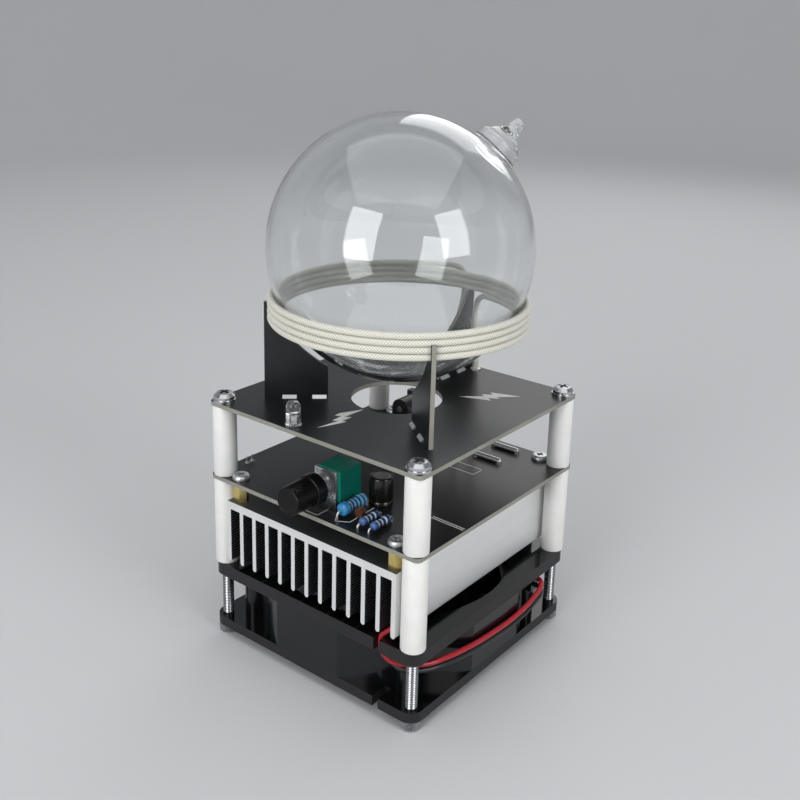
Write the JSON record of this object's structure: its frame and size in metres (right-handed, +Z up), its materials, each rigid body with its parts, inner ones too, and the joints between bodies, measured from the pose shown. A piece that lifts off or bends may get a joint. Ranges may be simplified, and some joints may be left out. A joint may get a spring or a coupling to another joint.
{
  "type": "plasma ring lamp",
  "caption": "Plasma ring lamp: a clear sealed glass globe seated on an induction winding over stacked circuit decks with a finned heat sink, a cooling fan and a front control knob.",
  "frame": {"origin": "on the stack's upright axis, in the plane the four foot bolt heads stand on", "axes": "+Z up the stack towards the glass bulb, -Y the front with the control knob, +X to the right seen from the front"},
  "size_m": [0.1029, 0.1153, 0.2055],
  "materials": {
    "black_acrylic": "polished",
    "fan_plastic": "moulded gloss",
    "bearing_bronze": "sintered",
    "stator_copper": "wound",
    "magnet": "matt",
    "steel": "bright",
    "nylon": "white",
    "silver_aluminium": "extruded",
    "brass": "turned",
    "board": "black solder mask",
    "chip_plastic": "moulded",
    "thermal_pad": "matt",
    "teal_plastic": "moulded",
    "knob_black": "matt",
    "blue_enamel": "banded enamel",
    "dark_blue_enamel": "banded enamel",
    "brown_ceramic": "dipped",
    "capacitor_sleeve": "shrink sleeve",
    "tinned": "tinned",
    "red_insulation": "smooth",
    "black_insulation": "smooth",
    "clear_epoxy": "clear",
    "braid": "braided sleeve",
    "bulb_glass": "clear",
    "copper": "drawn wire"
  },
  "bodies": {
    "stack": {"foot_bolts": "steel", "bottom_plate": "black_acrylic", "fan_frame": "fan_plastic", "fan_bearing": "bearing_bronze", "fan_stator": "stator_copper", "upper_plate": "black_acrylic", "lower_posts": "nylon", "heat_sink": "silver_aluminium", "brass_standoffs": "brass", "standoff_screws": "steel", "driver_board": "board", "post_studs": "steel", "upper_posts": "nylon", "power_transistor": "chip_plastic", "transistor_pad": "thermal_pad", "transistor_screw": "steel", "pot_bracket": "steel", "pot_body": "teal_plastic", "pot_bushing": "tinned", "pot_pins": "tinned", "power_resistor": "blue_enamel", "small_resistors": "dark_blue_enamel", "ceramic_capacitor": "brown_ceramic", "electrolytic_capacitor": "capacitor_sleeve", "wire_links": "tinned", "edge_pins": "tinned", "dc_inlet": "chip_plastic", "inlet_pin": "steel", "fan_connector": "chip_plastic", "fan_lead_red": "red_insulation", "fan_lead_black": "black_insulation", "top_board": "board", "top_washers": "steel", "top_screws": "steel", "indicator_led": "clear_epoxy", "led_leads": "tinned", "cradle_left": "board", "cradle_front": "board", "cradle_back": "board", "solder_tabs": "tinned", "winding_terminals": "tinned", "feed_wires": "copper", "induction_winding": "braid"},
    "fan_spinner": {"fan_rotor": "fan_plastic", "fan_magnet": "magnet", "fan_shaft": "steel"},
    "control": {"pot_shaft": "steel", "control_knob": "knob_black"},
    "bulb": {"glass_bulb": "bulb_glass"}
  },
  "joints": [
    {"name": "fan_spin", "type": "hinge", "parent": "stack", "child": "fan_spinner", "pos_m": [0, 0, 0.0192], "axis": [0, 0, 1], "continuous": true},
    {"name": "control_turn", "type": "hinge", "parent": "stack", "child": "control", "pos_m": [0.0022, -0.05, 0.0776], "axis": [0, -1, 0], "range_deg": [-150, 150]},
    {"name": "bulb_lift", "type": "slide", "parent": "stack", "child": "bulb", "axis": [0, 0, 1], "range_m": [0, 0.06]}
  ]
}
